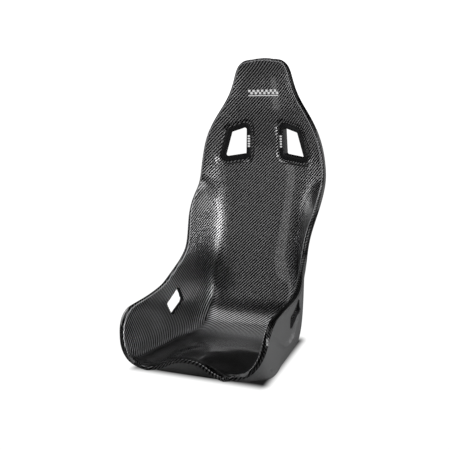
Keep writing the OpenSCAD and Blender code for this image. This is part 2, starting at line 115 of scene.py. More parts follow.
def spline(tab, v):
    """smooth curve through the rows of a table, read at the stations v"""
    T = np.array(tab, float)
    n = len(T)

    def g(k):
        return T[k] if 0 <= k < n else (2 * T[0] - T[-k] if k < 0 else 2 * T[-1] - T[2 * (n - 1) - k])

    def c(k):
        return (8 * g(k) - g(k - 1) - g(k + 1)) / 6
    out = []
    for x in v:
        i = min(int(np.floor(x)), n - 2)
        t = x - i
        w = [(1 - t) ** 3 / 6, (3 * t ** 3 - 6 * t * t + 4) / 6,
             (-3 * t ** 3 + 3 * t * t + 3 * t + 1) / 6, t ** 3 / 6]
        out.append(sum(wk * c(i - 1 + k) for k, wk in enumerate(w)))
    return np.array(out)


def basis(n, u, p=3):
    """weights of n control points at u on a clamped B-spline"""
    K = [0] * p + list(range(n - p + 1)) + [n - p] * p

    def N(i, q):
        if q == 0:
            return 1.0 if (K[i] <= u < K[i + 1] or (u == n - p and K[i] < u <= K[i + 1])) else 0.0
        a = (u - K[i]) / (K[i + q] - K[i]) * N(i, q - 1) if K[i + q] > K[i] else 0
        b = (K[i + q + 1] - u) / (K[i + q + 1] - K[i + 1]) * N(i + 1, q - 1) if K[i + q + 1] > K[i + 1] else 0
        return a + b
    return [N(i, p) for i in range(n)]


def ease(t):
    t = np.clip(t, 0, 1)
    return t * t * (3 - 2 * t)


def out_d(P, V):
    """distance of points from a convex outline, negative inside"""
    A, B = V, np.roll(V, -1, 0)
    E = B - A
    t = np.clip(((P[..., None, :] - A) * E).sum(-1) / (E * E).sum(-1), 0, 1)
    d = np.linalg.norm(P[..., None, :] - A - t[..., None] * E, axis=-1).min(-1)
    c = E[:, 0] * (P[..., None, 1] - A[:, 1]) - E[:, 1] * (P[..., None, 0] - A[:, 0])
    inside = (c > 0).all(-1) | (c < 0).all(-1)
    return np.where(inside, -d, d)


def dish(G, back, margin=3.0, width=18.0):
    """flats that the shoulder surrounds sit on"""
    x, y, z = np.abs(G[..., 0]), G[..., 1], G[..., 2]
    q = np.stack([x - SLOT_AT[0], z - SLOT_AT[2]], -1)
    w = 1 - ease((out_d(q, OPEN) - BEZEL_W - margin) / width)
    w = np.where((np.abs(q[..., 1]) > 110) | (y < 400), 0, w)
    rise_x, rise_z = math.tan(math.radians(SLOT_RZ)), math.tan(math.radians(SLOT_RX))
    flat = SLOT_AT[1] + rise_x * q[..., 0] - rise_z * q[..., 1]
    G = G.copy()
    G[..., 1] = y * (1 - w) + w * (flat + back)
    return G


def inner_grid(v, NU):
    """grid of the sitter's side and its cloth coordinates: unrolled from the spine, and from the rim"""
    S, K = spline(ST, v), spline(SK, v / 3)
    NV = len(v) - 1
    Bm = np.array([basis(11, u) for u in np.linspace(0, 8, NU + 1)])
    G = np.zeros((NV + 1, NU + 1, 3))
    UV, WV = np.zeros((NV + 1, NU + 1, 2)), np.zeros((NV + 1, NU + 1, 2))
    arc = np.concatenate([[0], np.cumsum(np.hypot(*np.diff(S[:, 3:5], axis=0).T))])
    half, shear = np.zeros(NV + 1), np.zeros(NV + 1)
    for a, (s, k) in enumerate(zip(S, K)):
        th = math.radians(s[5])
        n, t = np.array([-math.sin(th), math.cos(th)]), np.array([math.cos(th), math.sin(th)])
        d = np.array([s[1] - s[3], s[2] - s[4]])
        h, sh = d @ n, d @ t
        R = np.array([s[0], h])
        W = np.array([(k[4] + R[0]) / 2 + k[6], (k[5] + R[1]) / 2 + k[7]])
        H = [(0, 0), k[0:2], k[2:4], k[4:6], W, R - 5 * unit(R - W)]
        F = np.array([(-q[0], q[1]) for q in H[:0:-1]] + [tuple(q) for q in H])
        P = Bm @ F
        g = sh * (P[:, 0] / s[0]) ** 2
        G[a] = np.stack([P[:, 0], s[3] + P[:, 1] * n[0] + g * t[0], s[4] + P[:, 1] * n[1] + g * t[1]], -1)
        L = np.concatenate([[0], np.cumsum(np.hypot(*np.diff(P, axis=0).T))])
        m = L[NU // 2]
        UV[a, :, 0] = L - m
        UV[a, :, 1] = arc[a] + g
        r = np.minimum(L, L[-1] - L)
        WV[a] = s[1:3] - r[:, None] * n + (g - sh)[:, None] * t
        half[a], shear[a] = m, sh
    c = int(np.argmin(abs(v - 17)))
    WV += np.array([-half[c] - S[c, 1], arc[c] + shear[c] - S[c, 2]])
    WV[..., 0] *= np.where(np.arange(NU + 1) > NU // 2, -1, 1)
    w = ease((v - 15) / 4)[:, None, None]
    # crown of the head's top edge
    G[..., 2] += CROWN * ease((v - 33) / 3)[:, None] * (1 - np.linspace(-1, 1, NU + 1) ** 2) ** 1.5
    return dish(G, 0, 1.5, 11.0), UV, UV * w + WV * (1 - w)


def loop_ij(nv, nu):
    """grid places along the rim, once round"""
    return ([(0, j) for j in range(nu)] + [(i, nu) for i in range(nv)]
            + [(nv, j) for j in range(nu, 0, -1)] + [(i, 0) for i in range(nv, 0, -1)])


def rim_frames(G, v):
    """along the rim: point, normal, way out, angle that the fold turns through, and flange width"""
    nv, nu = G.shape[0] - 1, G.shape[1] - 1
    L = loop_ij(nv, nu)
    P = np.array([G[q] for q in L])
    # the inward neighbour is taken about 15 mm in, so a fine grid gives the same frame as a coarse one
    ki, kj = max(1, nv // 60), max(1, nu // 28)
    I = np.array([G[min(max(i, ki), nv - ki), min(max(j, kj), nu - kj)] for i, j in L]) - P
    E = unit(np.roll(P, -1, 0) - np.roll(P, 1, 0))
    # weighted by how square the two directions stand, so the head's corners follow their neighbours
    N = np.cross(E, unit(I))
    N *= np.linalg.norm(N, axis=1, keepdims=True) ** 6
    for _ in range(2 * max(1, (nv // 52) ** 2)):
        N = (np.roll(N, 1, 0) + 2 * N + np.roll(N, -1, 0)) / 4
    N = unit(N)
    w = unit(np.cross(E, N))
    g = unit(spline(GK, v / 3))
    width = FLANGE_W * spline(np.array(FK)[:, None], v / 3)[:, 0]
    u = np.linspace(-1, 1, nu + 1)
    lean = unit(np.array([(g[i, 0] * u[j], g[i, 1], g[i, 2]) for i, j in L]))
    a = np.arctan2(-np.sum(lean * N, 1), np.sum(lean * w, 1))
    a = np.where(a < 0, a + 2 * np.pi, a)
    return P, N, w, a[:, None], np.array([width[i] for i, j in L])[:, None]


def rim_ring(f, r, t):
    """ring of radius r in the fold, at the share t of its turn"""
    P, N, w, a = f[:4]
    return P - N * (RIM_R + INNER_T) + r * (N * np.cos(t * a) + w * np.sin(t * a))


def rim_tail(f):
    """direction of the flange behind the fold"""
    return -f[1] * np.sin(f[3]) + f[2] * np.cos(f[3])


def hollow(O):
    """sinks the side wall round each lap slot, with a raised edge"""
    wall_from, wall_soft, rim_soft = 120, 30, 0.05
    sink_edge, sink_soft = 7, 9
    ridge_at, ridge_wide = 5.5, 5.2
    q = np.stack([O[..., 1] - HOLLOW_AT[0], O[..., 2] - HOLLOW_AT[1]], -1)
    e = out_d(q, HOLLOW)
    inside_rim = ease((1 - abs(np.linspace(-1, 1, O.shape[1]))) / rim_soft)
    side = ease((abs(O[..., 0]) - wall_from) / wall_soft) * inside_rim
    sink = HOLLOW_DEEP * (1 - ease((e + sink_edge) / sink_soft))
    ridge = HOLLOW_RIDGE * np.exp(-((e - ridge_at) / ridge_wide) ** 2)
    O[..., 0] -= np.sign(O[..., 0]) * side * (sink - ridge)


def hip_room(O):
    """moves the outer skin a little away from the tub behind each hip"""
    far = (abs(O[..., 0]) - HIP_AT[0]) ** 2 + (O[..., 1] - HIP_AT[1]) ** 2 + (O[..., 2] - HIP_AT[2]) ** 2
    w = HIP_ROOM * np.exp(-far / HIP_R ** 2)
    O[..., 0] += np.sign(O[..., 0]) * w
    O[..., 1] += HIP_REAR * w


def outer_grid(G, v):
    """grid of the outer skin's outside, carried up to the rim of the tub's grid G"""
    nv, nu = G.shape[0] - 1, G.shape[1] - 1
    f = rim_frames(G, v)
    Q = rim_ring(f, RIM_R - 0.6, 1.0) + 0.45 * f[4] * rim_tail(f)
    S, K = spline(SO, v), spline(OK, v / 3)
    Bm = np.array([basis(13, u) for u in np.linspace(0, 10, nu + 1)])
    O = np.zeros_like(G)
    for a in range(nv + 1):
        R, s, k = Q[nu + a], S[a], K[a]
        th = math.radians(s[2])
        n, t = np.array([-math.sin(th), math.cos(th)]), np.array([math.cos(th), math.sin(th)])
        d = np.array([R[1] - s[0], R[2] - s[1]])
        h, sh = d @ n, d @ t
        W = ((k[6] + R[0]) / 2 + k[8], (k[7] + h) / 2 + k[9])
        H = [(0, 0), k[0:2], k[2:4], k[4:6], k[6:8], W, (R[0], h)]
        F = np.array([(-q[0], q[1]) for q in H[:0:-1]] + [tuple(q) for q in H])
        P = Bm @ F
        g = sh * (P[:, 1] / h if abs(h) > 20 else (P[:, 0] / R[0]) ** 2)
        O[a] = np.stack([P[:, 0], s[0] + P[:, 1] * n[0] + g * t[0], s[1] + P[:, 1] * n[1] + g * t[1]], -1)
    C0 = Q[:nu + 1] - O[0]
    C1 = np.array([Q[nu + nv + nu - j] for j in range(nu + 1)]) - O[nv]
    for a in range(nv + 1):
        O[a] += C0 * max(0, 1 - v[a] / 4) ** 2 + C1 * max(0, 1 - (36 - v[a]) / 5) ** 2
    O[..., 2] = np.maximum(O[..., 2], 0)
    hollow(O)
    hip_room(O)
    return dish(O, SLOT_BACK)


def grid_normals(G):
    """towards the sitter"""
    return unit(np.cross(np.gradient(G, axis=1), np.gradient(G, axis=0)))


def tuck(O, G, v, k):
    """draws the front of the outer skin back from the rows k of the tub's grid G

    It stays up to about 1 mm inside the tub's laminate at the front corners.
    """
    n = grid_normals(G)
    F, N = (G - INNER_T * n)[k].reshape(-1, 3), n[k].reshape(-1, 3)
    H = O + OUTER_T * grid_normals(O)
    push = np.zeros(O.shape[:2])
    away = np.zeros_like(O)
    for a in np.nonzero((v > TUCK_FROM) & (v < TUCK_TO))[0]:
        d = ((H[a][:, None] - F) ** 2).sum(-1)
        i = d.argmin(1)
        deep = ((H[a] - F[i]) * N[i]).sum(-1)
        push[a] = np.where(d.min(1) < TUCK_NEAR ** 2, np.clip(deep + TUCK_GAP, 0, TUCK_MAX), 0)
        away[a] = N[i]
    push *= ease((1 - abs(np.linspace(-1, 1, O.shape[1]))) / TUCK_EDGE)
    # spread to the neighbours, so the skin bends back without a step
    for _ in range(4):
        push[1:-1] = np.maximum(push[1:-1], (push[:-2] + push[2:]) / 2)
        push[:, 1:-1] = np.maximum(push[:, 1:-1], (push[:, :-2] + push[:, 2:]) / 2)
    return O - push[..., None] * away


# ---------------------------------------------------------------- meshes
def to_m(P):
    P = np.array(P, float)
    return (P - np.array([0, Y_MID, 0])) / 1000.0


def make(name, verts, faces, smooth=True):
    me = bpy.data.meshes.new(name)
    me.from_pydata([tuple(p) for p in verts], [], [tuple(int(i) for i in q) for q in faces])
    me.update()
    ob = bpy.data.objects.new(name, me)
    bpy.context.scene.collection.objects.link(ob)
    if smooth:
        me.polygons.foreach_set("use_smooth", [True] * len(me.polygons))
    return ob


def skin(name, A, B, RA, RB, uvs=None):
    """closed skin: sheet A faces the sitter, B is its back, RA and RB are the rim rings of each"""
    nv, nu = A.shape[0] - 1, A.shape[1] - 1
    g, L = (nv + 1) * (nu + 1), loop_ij(nv, nu)
    m = len(L)
    V = [A.reshape(-1, 3), B.reshape(-1, 3)] + RA + RB
    idx = np.arange(g).reshape(nv + 1, nu + 1)
    q = np.stack([idx[:-1, :-1], idx[1:, :-1], idx[1:, 1:], idx[:-1, 1:]], -1).reshape(-1, 4)
    F = [q, (q + g)[:, ::-1]]
    la = [np.array([idx[i] for i in L])] + [2 * g + k * m + np.arange(m) for k in range(len(RA))]
    lb = [la[0] + g] + [2 * g + (len(RA) + k) * m + np.arange(m) for k in range(len(RB))]

    def band(a, b):
        return np.stack([a, b, np.roll(b, -1), np.roll(a, -1)], -1)
    for k in range(len(RA)):
        F.append(band(la[k + 1], la[k]))
        F.append(band(lb[k], lb[k + 1]))
    F.append(band(lb[-1], la[-1]))
    ob = make(name, to_m(np.concatenate(V)), np.concatenate(F)[:, ::-1])
    if uvs:
        for layer, W in uvs.items():
            lay = ob.data.uv_layers.new(name=layer)
            vi = np.zeros(len(ob.data.loops), np.int32)
            ob.data.loops.foreach_get("vertex_index", vi)
            lay.data.foreach_set("uv", (W[vi] / 1000.0).astype(np.float32).ravel())
    return ob


def grow(V, d):
    """outline with each side moved outwards by d"""
    m = len(V)
    A, B = V, np.roll(V, -1, 0)
    E = unit(B - A)
    s = -1 if (E[0, 1] * (-A[0, 0]) - E[0, 0] * (-A[0, 1])) > 0 else 1
    out = []
    for i in range(m):
        u, w = E[i - 1], E[i]
        a, b = V[i] + s * d * np.array([u[1], -u[0]]), V[i] + s * d * np.array([w[1], -w[0]])
        t = ((b[0] - a[0]) * w[1] - (b[1] - a[1]) * w[0]) / (u[0] * w[1] - u[1] * w[0])
        out.append(a + t * u)
    return np.array(out)


def rounded(V, r, n=10):
    """outline with its corners rounded to the radius r"""
    m, out = len(V), []
    for i in range(m):
        p, q, nx = V[i - 1], V[i], V[(i + 1) % m]
        u, w = unit(p - q), unit(nx - q)
        h = math.acos(float(u @ w)) / 2
        t = r / math.tan(h)
        c = q + unit(u + w) * r / math.sin(h)
        a, b = q + u * t - c, q + w * t - c
        for k in range(n + 1):
            out.append(c + r * unit(a * (n - k) + b * k))
    return np.array(out)


def rx(a):
    return Matrix.Rotation(math.radians(a), 4, "X")


def ry(a):
    return Matrix.Rotation(math.radians(a), 4, "Y")


def rz(a):
    return Matrix.Rotation(math.radians(a), 4, "Z")


def place(kind, s=1):
    """local mm frame to the seat's metre frame"""
    if kind == "slot":
        M = Matrix.Translation(SLOT_AT) @ rz(SLOT_RZ) @ rx(90 + SLOT_RX)
    else:
        M = Matrix.Translation(LAP_AT) @ rz(-5.7) @ ry(2.9) @ (rz(90) @ rx(90))
    S = Matrix.Diagonal((s, 1, 1, 1))
    return Matrix.Scale(0.001, 4) @ Matrix.Translation((0, -Y_MID, 0)) @ S @ M


def tube(name, V, r0, prof, M, closed=True):
    """sweeps profile points (offset, height) round a rounded outline"""
    rings = []
    for d, z in prof:
        P = rounded(grow(V, d), max(0.5, r0 + d))
        rings.append(np.concatenate([P, np.full((len(P), 1), z)], 1))
    n, m = len(rings), len(rings[0])
    verts = np.concatenate(rings)
    faces = []
    for k in range(n if closed else n - 1):
        a, b = k * m, ((k + 1) % n) * m
        faces += [(a + i, a + (i + 1) % m, b + (i + 1) % m, b + i) for i in range(m)]
    if not closed:
        faces += [tuple(range(m))[::-1], tuple((n - 1) * m + i for i in range(m))]
    ob = make(name, [M @ Vector(p) for p in verts], faces, smooth=True)
    fix_normals(ob)
    return ob


def fix_normals(ob):
    bm = bmesh.new()
    bm.from_mesh(ob.data)
    bmesh.ops.recalc_face_normals(bm, faces=bm.faces)
    bm.to_mesh(ob.data)
    bm.free()


def cut(ob, cutters):
    bpy.context.view_layer.update()
    bpy.ops.object.select_all(action="DESELECT")
    for c in cutters:
        c.select_set(True)
    bpy.context.view_layer.objects.active = cutters[0]
    if len(cutters) > 1:
        bpy.ops.object.join()
    c = cutters[0]
    mod = ob.modifiers.new("cut", "BOOLEAN")
    mod.operation, mod.object, mod.solver = "DIFFERENCE", c, "MANIFOLD"
    bpy.ops.object.select_all(action="DESELECT")
    ob.select_set(True)
    bpy.context.view_layer.objects.active = ob
    bpy.ops.object.modifier_apply(modifier=mod.name)
    bpy.data.objects.remove(c)


def prism(V, d, r, z0, z1, M):
    return tube("cutter", V, r, [(d, z0), (d, z1)], M, closed=False)


def openings(back, front):
    """cutters for one skin: both shoulder slots, between two heights of the surround, and both lap slots"""
    out = []
    for s in (-1, 1):
        out.append(prism(OPEN, SLOT_ROOM, SLOT_CORNER, back, front, place("slot", s)))
        out.append(prism(LAP, LAP_ROOM, LAP_CORNER, *LAP_REACH, place("lap", s)))
    return out


def split_sharp(ob, deg=35):
    ob.data.polygons.foreach_set("use_smooth", [True] * len(ob.data.polygons))
    ob.data.set_sharp_from_angle(angle=math.radians(deg))


# ---------------------------------------------------------------- materials
def nodes_of(name):
    m = bpy.data.materials.new(name)
    m.use_nodes = True
    nt = m.node_tree
    b = nt.nodes["Principled BSDF"]
    return m, nt, b


def mth(nt, op, a, b=None, c=None):
    n = nt.nodes.new("ShaderNodeMath")
    n.operation = op
    for i, x in enumerate((a, b, c)):
        if x is None:
            continue
        if isinstance(x, (int, float)):
            n.inputs[i].default_value = x
        else:
            nt.links.new(x, n.inputs[i])
    return n.outputs[0]


def pick(nt, mask, a, b):
    n = nt.nodes.new("ShaderNodeMix")
    n.data_type = "VECTOR"
    nt.links.new(mask, n.inputs[0])
    nt.links.new(a, n.inputs[4])
    nt.links.new(b, n.inputs[5])
    return n.outputs[1]


def fade(nt, value, start, end, first, last):
    """smooth change from first to last while the value goes from start to end"""
    n = nt.nodes.new("ShaderNodeMapRange")
    n.interpolation_type = "SMOOTHSTEP"
    nt.links.new(value, n.inputs[0])
    for k, x in enumerate((start, end, first, last)):
        n.inputs[k + 1].default_value = x
    return n.outputs[0]


def two_tone(nt, share, low, high):
    """colour between low and high, by a share of 0 to 1"""
    n = nt.nodes.new("ShaderNodeMix")
    n.data_type = "RGBA"
    nt.links.new(share, n.inputs[0])
    n.inputs[6].default_value = (*low, 1)
    n.inputs[7].default_value = (*high, 1)
    return n.outputs[2]


def relief(nt, b, height, strength, depth):
    """bump on the surface b, depth in metres"""
    n = nt.nodes.new("ShaderNodeBump")
    n.inputs["Strength"].default_value = strength
    n.inputs["Distance"].default_value = depth
    nt.links.new(height, n.inputs["Height"])
    nt.links.new(n.outputs[0], b.inputs["Normal"])


def settings(b, values):
    for socket, value in values.items():
        b.inputs[socket].default_value = value


def uv(nt, layer):
    n = nt.nodes.new("ShaderNodeUVMap")
    n.uv_map = layer
    return n.outputs[0]


def split(nt, vec):
    n = nt.nodes.new("ShaderNodeSeparateXYZ")
    nt.links.new(vec, n.inputs[0])
    return n.outputs


def twill(nt, vec, tow):
    """2x2 twill from coordinates in metres: where the warp shows, how bright it is, and the tow's height"""
    c = split(nt, vec)
    p = mth(nt, "MULTIPLY", c[0], 1 / tow)
    q = mth(nt, "MULTIPLY", c[1], 1 / tow)
    i, j = mth(nt, "FLOOR", p), mth(nt, "FLOOR", q)
    d = mth(nt, "FLOORED_MODULO", mth(nt, "SUBTRACT", i, j), 4)
    warp = mth(nt, "LESS_THAN", d, 1.5)
    # distance from the middle of the diagonal rib, 0 to 2 tows
    t = mth(nt, "FLOORED_MODULO", mth(nt, "ADD", mth(nt, "SUBTRACT", p, q), 1.5), 4)
    t = mth(nt, "ABSOLUTE", mth(nt, "SUBTRACT", t, 2.0))
    rib = fade(nt, t, *RIB, 1.0, 0.0)
    fp = mth(nt, "SUBTRACT", mth(nt, "FRACT", p), 0.5)
    fq = mth(nt, "SUBTRACT", mth(nt, "FRACT", q), 0.5)
    hw, hf = mth(nt, "MULTIPLY", fp, fp), mth(nt, "MULTIPLY", fq, fq)
    across = mth(nt, "ADD", mth(nt, "MULTIPLY", hw, warp),
                 mth(nt, "MULTIPLY", hf, mth(nt, "SUBTRACT", 1.0, warp)))
    cell = mth(nt, "ADD", mth(nt, "MULTIPLY", warp, 0.5), 0.5)
    height = mth(nt, "SUBTRACT", 1.0, mth(nt, "MULTIPLY", across, 4.0))
    return mth(nt, "GREATER_THAN", rib, RIB_SPLIT), mth(nt, "MULTIPLY", cell, rib), height


def tangent(nt, layer):
    n = nt.nodes.new("ShaderNodeTangent")
    n.direction_type = "UV_MAP"
    n.uv_map = layer
    return n.outputs[0]


TOW = 0.00277                       # width of one tow, in metres
RIB, RIB_SPLIT = (0.4, 1.35), 0.3   # in tows from the rib's middle, and the brightness where it ends
WEFT, WARP = 0.005, 1.0             # brightness of the two yarns
FOLD_HIGHLIGHT = 1.6                          # strength of the painted highlight along the fold


def carbon():
    """gloss twill of the tub; the zone layer picks the cloth's direction and how brightly the weave is
    painted, dimmed in places as painted shade, with a painted highlight along the fold
    """
    m, nt, b = nodes_of("carbon_gloss")
    z = split(nt, uv(nt, "zone"))
    wing = mth(nt, "GREATER_THAN", z[0], 0.5)
    warp, rib, h = twill(nt, pick(nt, wing, uv(nt, "weave"), uv(nt, "wing")), TOW)
    lit = mth(nt, "MULTIPLY", rib, mth(nt, "MINIMUM", z[1], 1.0))
    # a zone value above one marks the painted highlight along the fold, a bright stripe painted into the base
    # colour
    fold_highlight = mth(nt, "MINIMUM", mth(nt, "MAXIMUM", mth(nt, "SUBTRACT", z[1], 1.0), 0.0), 1.0)
    lit = mth(nt, "MAXIMUM", lit, fold_highlight)
    nt.links.new(mth(nt, "SUBTRACT", 1.0, fold_highlight), b.inputs["Metallic"])
    weft = [WEFT * c for c in (1, 1, 1.03)]
    yarn = [WARP * c for c in (1, 1, 1.02)]
    nt.links.new(two_tone(nt, lit, weft, yarn), b.inputs["Base Color"])
    settings(b, {"Roughness": 0.36, "Anisotropic": 0.75, "Coat Weight": 1.0, "Coat Roughness": 0.06,
                 "Coat IOR": 1.45})
    tg = pick(nt, wing, tangent(nt, "weave"), tangent(nt, "wing"))
    geo = nt.nodes.new("ShaderNodeNewGeometry")
    cr = nt.nodes.new("ShaderNodeVectorMath")
    cr.operation = "CROSS_PRODUCT"
    nt.links.new(geo.outputs["Normal"], cr.inputs[0])
    nt.links.new(tg, cr.inputs[1])
    nt.links.new(pick(nt, warp, cr.outputs[0], tg), b.inputs["Tangent"])
    relief(nt, b, h, 0.2, 0.0004)
    return m


def plain(name, col, rough, metal=0.0, coat=0.0, noise=900.0, bump=0.0, glow=0.0):
    """one colour with a faint mottle; glow is painted light, an emission that lifts a white print's
    brightness
    """
    m, nt, b = nodes_of(name)
    settings(b, {"Metallic": metal, "Roughness": rough, "Specular IOR Level": 0.5, "Coat Weight": coat,
                 "Emission Color": (1, 1, 1, 1), "Emission Strength": glow})
    n = nt.nodes.new("ShaderNodeTexNoise")
    tc = nt.nodes.new("ShaderNodeTexCoord")
    nt.links.new(tc.outputs["Object"], n.inputs["Vector"])
    settings(n, {"Scale": noise, "Detail": 3.0})
    darker = [c * 0.92 for c in col]
    lighter = [min(1, c * 1.08) for c in col]
    nt.links.new(two_tone(nt, n.outputs["Fac"], darker, lighter), b.inputs["Base Color"])
    if bump:
        relief(nt, b, n.outputs["Fac"], bump, 0.0002)
    return m


def wear(ob, mat):
    ob.data.materials.clear()
    ob.data.materials.append(mat)


CARBON = carbon()
GREY = plain("shell_grey", (0.31, 0.312, 0.316), 0.34, coat=0.2, noise=300.0)
BLACK = plain("moulded_black", (0.03, 0.03, 0.032), 0.3, bump=0.15, noise=1500.0)
SCREW = plain("screw_black", (0.03, 0.03, 0.032), 0.35, metal=0.6)
# the decals' glow is painted light
WHITE = plain("decal_white", (0.88, 0.88, 0.88), 0.5, glow=0.45)
STEEL = plain("insert_steel", (0.62, 0.62, 0.64), 0.3, metal=1.0)
ALU = plain("plate_aluminium", (0.7, 0.7, 0.72), 0.4, metal=1.0)

# ---------------------------------------------------------------- inner skin
NU, ROWS = ((128, (145, 61, 37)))
v = np.concatenate([np.linspace(0, 24, ROWS[0])[:-1], np.linspace(24, 30, ROWS[1])[:-1],
                    np.linspace(30, 36, ROWS[2])])
NV = len(v) - 1
G, UV, WV = inner_grid(v, NU)
nrm = grid_normals(G)
f = rim_frames(G, v)
L = loop_ij(NV, NU)
B = G - INNER_T * nrm
ring0 = rim_ring(f, RIM_R, 0.0)
for k, q in enumerate(L):
    B[q] = ring0[k]
steps = [0.12, 0.25, 0.38, 0.5, 0.62, 0.75, 0.88, 1.0]      # shares of the fold's turn, one ring each
R_OUT = RIM_R + INNER_T
tail = rim_tail(f) * f[4]
RA = [rim_ring(f, R_OUT, t) for t in steps]
RB = [rim_ring(f, RIM_R, t) for t in steps]
RA += [RA[-1] + 0.5 * tail, RA[-1] + 0.93 * tail]
RB += [RB[-1] + 0.5 * tail, RB[-1] + 0.93 * tail]
mid = (RA[-1] + RB[-1]) / 2 + 0.07 * tail
lip = (RA[-1] - RB[-1]) * 0.3
RA.append(mid + lip)
RB.append(mid - lip)


def carry(W):
    """cloth coordinates carried on round the rim"""
    edge = np.array([W[q] for q in L])
    inn = np.array([W[min(max(i, 1), NV - 1), min(max(j, 1), NU - 1)] for i, j in L])
    d = unit(edge - inn)
    d = unit(d + np.roll(d, 1, 0) + np.roll(d, -1, 0))
    out, prev, run = [], f[0], np.zeros(len(L))
    for R in RA:
        run = run + np.linalg.norm(R - prev, axis=1)
        prev = R
        out.append(edge + d * run[:, None])
    return np.concatenate([W.reshape(-1, 2)] * 2 + out + out)


# zone: x picks the rim-unrolled cloth on the side wings, y is how brightly the weave is painted, dimmed as
# painted shade on the wings, the pan and the bends
WING_STEEP, WING_SOFT, WING_DIM = 0.35, 0.3, 0.25         # slope at which a side wing starts, and the painted shade that dims its weave
WING_TOP, WING_FOOT = 19, 1.5                             # stations between which it runs
PAN_TOP, PAN_SOFT, PAN_DIM = 12.4, 1.4, 0.96              # the pan, whose weave is dimmed almost away as painted shade
VALLEY_STEEP, VALLEY_WIDE, VALLEY_DIM = 0.5, 0.16, 0.75   # the bend between the pan or back and a wing, whose weave is dimmed as painted shade
steep = abs(nrm[..., 0])
vv = v[:, None] * np.ones((1, NU + 1))
wing = ease((steep - WING_STEEP) / WING_SOFT) * ease((WING_TOP - vv) / 2) * ease((vv - WING_FOOT) / WING_FOOT)
show = (1 - WING_DIM * wing) * (1 - (1 - wing) * ease((PAN_TOP - vv) / PAN_SOFT) * PAN_DIM)
show *= 1 - VALLEY_DIM * np.exp(-((steep - VALLEY_STEEP) / VALLEY_WIDE) ** 2) * ease((WING_TOP - vv) / 3)
ZN = np.stack([wing, show], -1) * 1000
edge = np.array([ZN[q] for q in L])
# round the fold: one painted highlight, then the weave fades out on a flange darkened as painted shade; the
# front lip keeps some weave, dimmed as painted shade
FLANGE_STEPS = [1.2, 1.4, 1.5]                # the rings past the fold's end
FOLD_LIP, FOLD_SIDE = 0.4, 0.6                # weave on the fold: at the lip, and what the sides add
UNDER_FROM, UNDER_LIP, UNDER_SIDE = 0.3, 0.25, 0.15
# painted shade on the flange: share of the fold's turn where it starts, how softly it comes in, and how dark
DARK_FROM, DARK_SOFT, DARK = 0.4, 0.3, 0.33
along = ease((np.array([v[i] for i, j in L]) - 1.0) / 2.0)
rings = []
for t in steps + FLANGE_STEPS:
    weave = UNDER_LIP + UNDER_SIDE * along if t > UNDER_FROM else FOLD_LIP + FOLD_SIDE * along
    # painted highlight on the second ring of the fold
    fold_highlight = along * (FOLD_HIGHLIGHT if t == steps[1] else 0)
    dark = along * DARK * float(ease(np.array((t - DARK_FROM) / DARK_SOFT)))
    e = edge.copy()
    e[:, 1] = 1000 * (weave + fold_highlight - dark)
    rings.append(e)
zone = np.concatenate([ZN.reshape(-1, 2)] * 2 + rings * 2)
tub = skin("tub_skin", G, B, RA, RB, {"weave": carry(UV), "wing": carry(WV), "zone": zone})
cut(tub, openings(-20, 20))
split_sharp(tub, 40)
wear(tub, CARBON)

# ---------------------------------------------------------------- outer skin
v = np.concatenate([np.linspace(0, 24, 361)[:-1], np.linspace(24, 36, 97)])
O = tuck(outer_grid(inner_grid(v, 280)[0], v), G, v, slice(0, 36))
H = O + OUTER_T * grid_normals(O)
shell = skin("shell_skin", H, O, [], [])
cut(shell, openings(-40, -10))
split_sharp(shell, 40)
wear(shell, GREY)

# ---------------------------------------------------------------- surrounds
# profiles as (distance out from the opening, height over the skin's flat)
FRONT_PROFILE = [
    (BEZEL_W, 0.3), (BEZEL_W, 1.5), (BEZEL_W - 0.5, 2.2), (BEZEL_W - 1.4, 2.7), (BEZEL_W - 3.4, 2.9),
    (BEZEL_W - 3.9, 3.1), (BEZEL_W - 4.2, 3.6), (BEZEL_W - 4.9, 4.0), (2.2, 4.0), (1.0, 3.7), (0.3, 3.0),
    (0, 2.0), (0, -SLOT_BACK + 0.4), (2.5, -SLOT_BACK + 0.4), (2.5, 0.3)]
REAR_PROFILE = [
    (BEZEL_W, -SLOT_BACK - 0.2), (BEZEL_W, -SLOT_BACK - 2.2), (BEZEL_W - 0.6, -SLOT_BACK - 3.0),
    (BEZEL_W - 1.6, -SLOT_BACK - 3.4), (1.5, -SLOT_BACK - 3.4), (0.5, -SLOT_BACK - 3.0),
    (0, -SLOT_BACK - 2.2), (0, -SLOT_BACK + 0.2), (2.5, -SLOT_BACK + 0.2), (2.5, -SLOT_BACK - 0.2)]
OPEN_CORNER = 6


def surround(name, profile, M):
    """half of a shoulder surround, swept round its opening"""
    ob = tube(name, OPEN, OPEN_CORNER, profile, M)
    split_sharp(ob, 30)
    wear(ob, BLACK)
    return ob


for s, side in ((-1, "left"), (1, "right")):
    M = place("slot", s)
    ob = surround("surround_front_" + side, FRONT_PROFILE, M)
    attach(ob, "root")
    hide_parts("shoulder_bezel_" + side)
    ob = surround("surround_rear_" + side, REAR_PROFILE, M)
    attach(ob, "root")
    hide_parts("rear_bezel_" + side)

for ob, slot, node in ((tub, "carbon_gloss", "inner_shell"), (shell, "shell_grey", "outer_shell")):
    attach(ob, "root")
    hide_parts(node)

for n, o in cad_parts.items():
    if n == "bezel_screws":
        wear(o, SCREW)
    elif n.startswith("bezel_mark") or n == "head_badge":
        wear(o, WHITE)
    elif n.startswith("lap_liner"):
        wear(o, BLACK)
    elif n.startswith("insert"):
        wear(o, STEEL)
    elif n.startswith("mount_plate"):
        wear(o, ALU)

